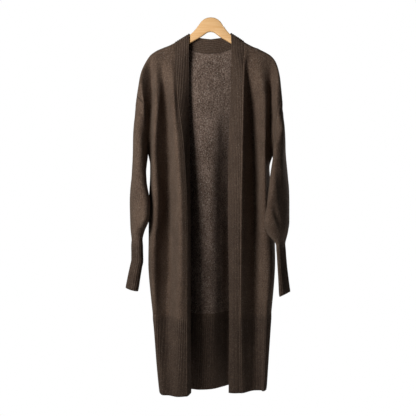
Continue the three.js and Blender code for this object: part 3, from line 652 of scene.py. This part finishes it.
def creased(net, normals, name, closed):
    """The net with its creases and a slight unevenness, faded out at its edges."""
    rows, columns = net.shape[:2]
    height = np.zeros((rows, columns))
    for x0, z0, x1, z1, width, tall in CREASES.get(name, ()):
        run = np.array([x1 - x0, z1 - z0], float)
        long = np.hypot(*run)
        run /= long
        from_x = net[..., 0] - x0
        from_z = net[..., 2] - z0
        down = from_x * run[0] + from_z * run[1]
        aside = from_x * run[1] - from_z * run[0]
        share = np.clip(down / long, 0, 1)
        past = np.maximum(0, np.maximum(-down, down - long))
        away = np.hypot(aside, past)
        height += tall * np.exp(-(away / width) ** 2) * np.sin(math.pi * (0.12 + 0.76 * share))
    uneven = np.array([noise.noise(place) for place in net.reshape(-1, 3) / UNEVEN])
    height += UNEVEN_HEIGHT * uneven.reshape(rows, columns)
    i = np.arange(rows)[:, None]
    fade = np.clip(np.minimum(i, rows - 1 - i) / FADE_POINTS, 0, 1)
    if not closed:
        j = np.arange(columns)[None, :]
        fade = fade * np.clip(np.minimum(j, columns - 1 - j) / FADE_POINTS, 0, 1)
    return net + normals * (height * fade)[..., None]


def net_normals(net, sign, closed):
    """The outward direction at each point of a net."""
    if closed:
        over = np.roll(net, -1, axis=1) - np.roll(net, 1, axis=1)
    else:
        over = np.gradient(net, axis=1)
    down = np.gradient(net, axis=0)
    normals = sign * np.cross(down, over)
    return normals / np.maximum(np.linalg.norm(normals, axis=-1, keepdims=True), 1e-9)


nets = {"back": (back_net(BODY_ROWS), -1, False), "hem_back": (back_net(HEM_ROWS), -1, False)}
for side in SIDES:
    sign = -1 if side == "right" else 1
    nets[f"front_{side}"] = (front_net(side, BODY_ROWS), sign, False)
    nets[f"hem_{side}"] = (front_net(side, HEM_ROWS), sign, False)
    nets[f"band_{side}"] = (band_net(side), sign, False)
    nets[f"sleeve_{side}"] = (sleeve_net(side), -sign, True)
    nets[f"cuff_{side}"] = (cuff_net(side), -sign, True)

# Two pieces that meet in a seam agree on the direction that their walls face there. A panel is
# its creased net, the direction that each point faces, and whether it closes into a tube.
seam_sum = {}
facing = {}
panels = {}


def rim_points(net, closed):
    """Row and column numbers of a net's edge points."""
    rows, columns = net.shape[:2]
    rim = [(i, j) for i in (0, rows - 1) for j in range(columns)]
    if not closed:
        rim += [(i, j) for i in range(1, rows - 1) for j in (0, columns - 1)]
    return rim


def seam_key(point):
    """A point's place to a fiftieth of a millimetre."""
    return tuple(np.round(point * 50).astype(int))


for name, (net, sign, closed) in nets.items():
    facing[name] = net_normals(net, sign, closed)
    for i, j in rim_points(net, closed):
        key = seam_key(net[i, j])
        seam_sum[key] = seam_sum.get(key, 0) + facing[name][i, j]
for name, (net, sign, closed) in nets.items():
    for i, j in rim_points(net, closed):
        total = seam_sum[seam_key(net[i, j])]
        facing[name][i, j] = total / max(np.linalg.norm(total), 1e-9)
    panels[name] = (creased(net, facing[name], name, closed), facing[name], closed)


# How each piece of knit becomes a closed wall
# A knitted wall has its stitches on the outside, its purl loops on the inside, and a turned
# edge that is a little thinner, so a seam lies in a shallow furrow.
SEAM_GAP = 0.06
EDGE_SOFT = 0.75        # how far a wall's face sinks at a seam
SINK_REACH = 0.8        # how many points of the net that takes
SEAM_SHADE = 0.8        # how far plain knit at a seam is darkened towards the painted shade between ribs
RIB_PITCH = 6
RIB_HEIGHT = 1.4
INSIDE_RIB = 0.7
RIB_SHAPE = 0.7         # below 1 a rib is broad and round, above 1 it is narrow
RIB_POINTS = 8
RIB_RISE = 14           # length over which ribs rise out of plain knit
RIB_THIN = 0.2          # how much thinner each half of the wall is between ribs


def lengths_along(net, axis):
    """Distance in millimetres from the first row or column, for each point of a net."""
    step = np.linalg.norm(np.diff(net, axis=axis), axis=-1)
    zero = np.zeros_like(np.take(step, [0], axis=axis))
    return np.concatenate([zero, np.cumsum(step, axis=axis)], axis=axis)


def shell(name, outer, inner, uv, closed, knitted_on, painted_light_values):
    """A closed wall mesh from its outer and inner nets, in metres, with its knit map. Its two
    faces stay smooth up to the edges that the next piece is knitted on. The last argument says
    how much painted light each point's colour gets: 1 on a rib or in plain knit, 0 between ribs
    and low at a plain seam, where shade is painted into the colour."""
    rows, columns = outer.shape[:2]
    points = np.concatenate([outer.reshape(-1, 3), inner.reshape(-1, 3)]) / 1000
    count = rows * columns
    grid = np.arange(count).reshape(rows, columns)
    if closed:
        grid = np.concatenate([grid, grid[:, :1]], axis=1)
    quads = np.stack([grid[:-1, :-1], grid[:-1, 1:], grid[1:, 1:], grid[1:, :-1]], axis=-1)
    quads = quads.reshape(-1, 4)
    walls = [quads, quads[:, ::-1] + count]
    edges = [grid[0], grid[-1, ::-1]]
    if not closed:
        edges += [grid[::-1, 0], grid[:, -1]]
    for edge in edges:
        walls.append(np.stack([edge[:-1] + count, edge[1:] + count, edge[1:], edge[:-1]], axis=-1))
    faces = np.concatenate(walls)
    a, b, c, d = (points[faces[:, k]] for k in range(4))
    volume = (a * np.cross(b, c)).sum() + (a * np.cross(c, d)).sum()
    if volume < 0:
        faces = faces[:, ::-1]
    mesh = bpy.data.meshes.new(name)
    mesh.vertices.add(len(points))
    mesh.vertices.foreach_set("co", points.ravel())
    mesh.loops.add(faces.size)
    mesh.loops.foreach_set("vertex_index", faces.ravel())
    mesh.polygons.add(len(faces))
    mesh.polygons.foreach_set("loop_start", np.arange(0, faces.size, 4))
    mesh.update(calc_edges=True)
    joined = np.zeros(len(points), bool)
    for end, row in (("first", 0), ("last", -1)):
        if end in knitted_on:
            joined[grid[row]] = True
            joined[grid[row] + count] = True
    ends = np.zeros(2 * len(mesh.edges), int)
    mesh.edges.foreach_get("vertices", ends)
    sharp = joined[ends.reshape(-1, 2)].all(axis=1)
    mesh.attributes.new("sharp_edge", "BOOLEAN", "EDGE").data.foreach_set("value", sharp)
    mesh.attributes.new("painted_light", "FLOAT", "POINT").data.foreach_set("value", painted_light_values)
    inside = np.zeros(len(faces), int)
    inside[len(quads):2 * len(quads)] = 1
    flat_uv = np.concatenate([uv.reshape(-1, 2), uv.reshape(-1, 2)])
    loops = flat_uv[faces]
    if closed:
        width = uv[..., 0].max() * columns / (columns - 1)
        low = loops[..., 0].min(axis=1, keepdims=True)
        high = loops[..., 0].max(axis=1, keepdims=True)
        wraps = (high - low) > width / 2
        loops[..., 0] += np.where(wraps & (loops[..., 0] < width / 2), width, 0)
    layer = mesh.uv_layers.new(name="knit")
    layer.data.foreach_set("uv", (loops / 1000).reshape(-1))
    return mesh, inside


def edge_sink(rows, columns, closed, knitted_on):
    """1 at the edges of a net, falling to 0 within two points, and 0 where the next piece is
    knitted on: at its first row, its last row, or both."""
    i = np.arange(rows)[:, None]
    first = 0 if "first" in knitted_on else np.exp(-i / SINK_REACH)
    last = 0 if "last" in knitted_on else np.exp(-(rows - 1 - i) / SINK_REACH)
    sink = np.maximum(first, last) + np.zeros((rows, columns))
    if not closed:
        j = np.arange(columns)[None, :]
        sink = np.maximum(sink, np.exp(-np.minimum(j, columns - 1 - j) / SINK_REACH))
    return sink


def pulled_in(net, closed, knitted_on):
    """The net with its edge points moved off the seam line, except where it is knitted on."""
    out = net.copy()

    def nudge(here, there):
        away = there - here
        return here + SEAM_GAP * away / np.maximum(
            np.linalg.norm(away, axis=-1, keepdims=True), 1e-9)

    if "first" not in knitted_on:
        out[0] = nudge(net[0], net[1])
    if "last" not in knitted_on:
        out[-1] = nudge(net[-1], net[-2])
    if not closed:
        out[:, 0] = nudge(out[:, 0], net[:, 1])
        out[:, -1] = nudge(out[:, -1], net[:, -2])
    return out


def knit_map(net):
    """Millimetres across and down the knit at each point: even stitches across, true rows."""
    rows, columns = net.shape[:2]
    width = lengths_along(net, 1)[:, -1].max()
    u = np.linspace(0, width, columns)[None, :] + np.zeros((rows, 1))
    v = lengths_along(net, 0).mean(axis=1)[:, None] + np.zeros((1, columns))
    return np.stack([u, v], axis=-1)


def plain_wall(name, knitted_on):
    """A wall of plain knit."""
    net, normals, closed = panels[name]
    net = pulled_in(net, closed, knitted_on)
    edge = edge_sink(*net.shape[:2], closed, knitted_on)
    sink = EDGE_SOFT * edge[..., None]
    # Painted shade along the seams: the colour is darkened towards every edge that is not knitted
    # on.
    painted_light_values = np.tile(1 - SEAM_SHADE * edge.ravel(), 2)
    return shell(name, net + normals * (CLOTH / 2 - sink), net - normals * (CLOTH / 2 - sink),
                 knit_map(net), closed, knitted_on, painted_light_values)


def ring_closed(net, closed):
    """The net, with its first column again as the last one where it is a tube."""
    return np.concatenate([net, net[:, :1]], axis=1) if closed else net


def ribbed_wall(name, knitted_on, ribs=None):
    """A wall of ribbed knit: rounded ribs outside, and between them rounded ribs inside. They
    rise out of the plain knit within a few rows where the wall starts from it. Without a
    number of ribs, it has as many as its widest row holds."""
    net, normals, closed = panels[name]
    normals = ring_closed(normals, closed)
    ribs = ribs or round(lengths_along(ring_closed(net, closed), 1)[:, -1].max() / RIB_PITCH)
    net = ring_closed(pulled_in(net, closed, knitted_on), closed)
    rows = net.shape[0]
    count = ribs * RIB_POINTS
    length = lengths_along(net, 1)
    shares = np.arange(count if closed else count + 1) / count
    mid = np.zeros((rows, len(shares), 3))
    out = np.zeros_like(mid)
    for i in range(rows):
        at = length[i] / length[i, -1]
        for axis in range(3):
            mid[i, :, axis] = np.interp(shares, at, net[i, :, axis])
            out[i, :, axis] = np.interp(shares, at, normals[i, :, axis])
    out /= np.linalg.norm(out, axis=-1, keepdims=True)
    wave = 0.5 - 0.5 * np.cos(2 * math.pi * shares * ribs)
    rise = np.ones(rows)
    if "first" in knitted_on:
        rise = np.clip(lengths_along(mid, 0).mean(axis=1) / RIB_RISE, 0, 1)
    rise = rise[:, None, None]
    outside = (wave ** RIB_SHAPE)[None, :, None] * RIB_HEIGHT * rise
    inside = ((1 - wave) ** RIB_SHAPE)[None, :, None] * INSIDE_RIB * rise
    sink = EDGE_SOFT * edge_sink(*mid.shape[:2], closed, knitted_on)[..., None]
    face = CLOTH / 2 - RIB_THIN * rise
    # Painted light and shade, for the outer face and then the inner one: 1 on top of each rib, 0
    # between ribs, where the colour is darkened as shade.
    painted_light_values = np.concatenate([(1 - rise + rise * side[None, :, None]).ravel()
                             for side in (wave, 1 - wave)])
    return shell(name, mid + out * (face - sink + outside), mid - out * (face - sink + inside),
                 knit_map(mid), closed, knitted_on, painted_light_values)


# The yarn
# A brown-grey melange wool, spun from dark and pale fibres and knitted in stitches 3 mm wide
# and 2.2 mm tall. It is soft and hairy, so it has no gloss, only a faint sheen of loose fibre.
STITCH_WIDE = 3.0
STITCH_TALL = 2.2
FIBRE_TANGLE = 10 / 7   # coarser than real fibres, so that it shows
YARN_CLUMP = 10 / 3
PALE_SPECK = 10 / 3.3
SLOW_CLOUD = 1000 / 22


def knit_material(name, dark, mid, pale, flecks, sheen, purl, painted_gap_shade):
    """Wool knit: its three fibre colours, the share of pale flecks, its sheen, whether it shows
    its purl face, and how dark the painted shade between ribs and at seams is."""
    made, tree = new_material(name)

    def maths(kind, first, second=None):
        """The result of one operation on one or two values, each a socket or a number."""
        made_node = node(tree, "ShaderNodeMath", {"operation": kind})
        for i, value in enumerate((first, second)):
            if isinstance(value, (int, float)):
                made_node.inputs[i].default_value = value
            elif value is not None:
                tree.links.new(value, made_node.inputs[i])
        return made_node.outputs[0]

    knit = node(tree, "ShaderNodeUVMap", {"uv_map": "knit"})
    place = node(tree, "ShaderNodeTexCoord")
    parts = node(tree, "ShaderNodeSeparateXYZ", links={0: knit.outputs[0]})
    u = maths("MULTIPLY", parts.outputs["X"], 1000 / STITCH_WIDE)
    v = maths("MULTIPLY", parts.outputs["Y"], 1000 / STITCH_TALL)
    # Each stitch is two legs that lean together into a V
    leg = maths("ABSOLUTE", maths("SUBTRACT", maths("FRACT", u), 0.5))
    slant = maths("ADD", v, maths("MULTIPLY", leg, -1.4 if not purl else 0.5))
    loop = maths("SINE", maths("MULTIPLY", slant, 2 * math.pi))
    valley = maths("SINE", maths("MULTIPLY", leg, 2 * math.pi))
    stitch = maths("ADD", maths("MULTIPLY", loop, 0.5), maths("MULTIPLY", valley, 0.6))
    # Fibres: a fine tangle, and slow clouds where the spinning ran darker or paler
    tangle = node(tree, "ShaderNodeTexNoise", {
        "Scale": 1000 / FIBRE_TANGLE, "Detail": 3.0, "Roughness": 0.7},
        {"Vector": place.outputs["Object"]})
    drawn = node(tree, "ShaderNodeMapping", {"Scale": (1, 1, 0.8)},
                 {"Vector": place.outputs["Object"]})
    clouds = node(tree, "ShaderNodeTexNoise", {
        "Scale": 1000 / YARN_CLUMP, "Detail": 2.5, "Roughness": 0.65},
        {"Vector": drawn.outputs[0]})
    slow = node(tree, "ShaderNodeTexNoise", {"Scale": 1000 / SLOW_CLOUD, "Detail": 2.0},
                {"Vector": drawn.outputs[0]})
    blend = maths("ADD", maths("MULTIPLY", clouds.outputs["Fac"], 0.75),
                  maths("MULTIPLY", slow.outputs["Fac"], 0.25))
    tone = node(tree, "ShaderNodeValToRGB", links={"Fac": blend})
    tone.color_ramp.elements[0].position = 0.34
    tone.color_ramp.elements[0].color = linear(dark)
    tone.color_ramp.elements[1].position = 0.66
    tone.color_ramp.elements[1].color = linear(pale)
    middle = tone.color_ramp.elements.new(0.5)
    middle.color = linear(mid)
    specks = node(tree, "ShaderNodeTexNoise", {
        "Scale": 1000 / PALE_SPECK, "Detail": 1.5, "Roughness": 0.6},
        {"Vector": place.outputs["Object"]})
    share = node(tree, "ShaderNodeMapRange", {"From Min": 0.6, "From Max": 0.72,
                 "To Max": flecks}, {"Value": specks.outputs["Fac"]})
    with_specks = node(tree, "ShaderNodeMix", {"data_type": "RGBA", 7: linear("#a3968a")},
                       {0: share.outputs[0], 6: tone.outputs[0]})
    # Loops stand in the light and the gaps between them lie in shade
    shade = node(tree, "ShaderNodeMapRange", {"From Min": -0.8, "From Max": 0.9,
                 "To Min": 0.72, "To Max": 1.08}, {"Value": stitch})
    colour = node(tree, "ShaderNodeMix", {"data_type": "RGBA", "blend_type": "MULTIPLY", 0: 1.0},
                  {6: with_specks.outputs[2], 7: shade.outputs[0]})
    # Painted shade: the colour is darkened between ribs and along seams, and lightened a little on
    # rib tops.
    painted_light = node(tree, "ShaderNodeAttribute", {"attribute_name": "painted_light"})
    depth = node(tree, "ShaderNodeMapRange", {"From Max": 0.75, "To Min": painted_gap_shade, "To Max": 1.05},
                 {"Value": painted_light.outputs["Fac"]})
    colour = node(tree, "ShaderNodeMix", {"data_type": "RGBA", "blend_type": "MULTIPLY", 0: 1.0},
                  {6: colour.outputs[2], 7: depth.outputs[0]})
    height = maths("ADD", stitch, maths("MULTIPLY", tangle.outputs["Fac"], 0.9))
    relief = node(tree, "ShaderNodeBump", {"Strength": 0.55, "Distance": 0.0007},
                  {"Height": height})
    wool = node(tree, "ShaderNodeBsdfPrincipled", {
        "Roughness": 0.92, "IOR": 1.45, "Specular IOR Level": 0.22, "Sheen Weight": sheen,
        "Sheen Roughness": 0.55, "Sheen Tint": linear("#cbb9a4")},
        {"Base Color": colour.outputs[2], "Normal": relief.outputs[0]})
    node(tree, "ShaderNodeOutputMaterial", links={"Surface": wool.outputs[0]})
    return made


wool_plain = knit_material("wool_plain_knit", "#43352b", "#5a483c", "#715e4f", 0.4, 0.14,
                           False, 0.35)
wool_rib = knit_material("wool_rib_knit", "#43352c", "#534338", "#665447", 0.35, 0.12,
                         False, 0.6)
wool_purl = knit_material("wool_purl_side", "#332820", "#645349", "#8f7c70", 1.0, 0.14,
                          True, 0.35)


def finish_piece(name, made, outside, behind):
    mesh, inside = made
    piece = new_piece(f"{name}_cloth", mesh, outside, behind)
    mesh.polygons.foreach_set("material_index", inside)
    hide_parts(name)


# Back
# One panel of plain knit, worked from the hem rib up to the shoulders. Its purl side shows
# between the open fronts.
finish_piece("back", plain_wall("back", ["last"]), wool_plain, wool_purl)

# Fronts
# Two narrower panels of the same knit, each linked to the back at the shoulder and side.
for side, width, area in (("right", 0.27, 0.18), ("left", 0.25, 0.156)):
    name = f"front_{side}"
    finish_piece(name, plain_wall(name, ["last"]), wool_plain, wool_purl)

# Hem ribs
# A deep rib under each panel, knitted in one with it. Both of its faces are ribbed.
for name, width in (("hem_back", 0.46), ("hem_right", 0.182), ("hem_left", 0.168)):
    finish_piece(name, ribbed_wall(name, ["first"]), wool_rib, wool_rib)

# Sleeves
# Two plain tubes, sewn into the dropped armholes, that blouse over their cuffs.
for side in SIDES:
    name = f"sleeve_{side}"
    finish_piece(name, plain_wall(name, ["last"]), wool_plain, wool_purl)

# Cuffs
# Long ribbed tubes that draw the sleeves in at the wrist.
for side in SIDES:
    name = f"cuff_{side}"
    finish_piece(name, ribbed_wall(name, ["first"]), wool_rib, wool_rib)

# Band
# A ribbed band, eight ribs wide, linked up each front and round the back of the neck.
for side in SIDES:
    name = f"band_{side}"
    finish_piece(name, ribbed_wall(name, ["last"], BAND_RIBS), wool_rib, wool_rib)
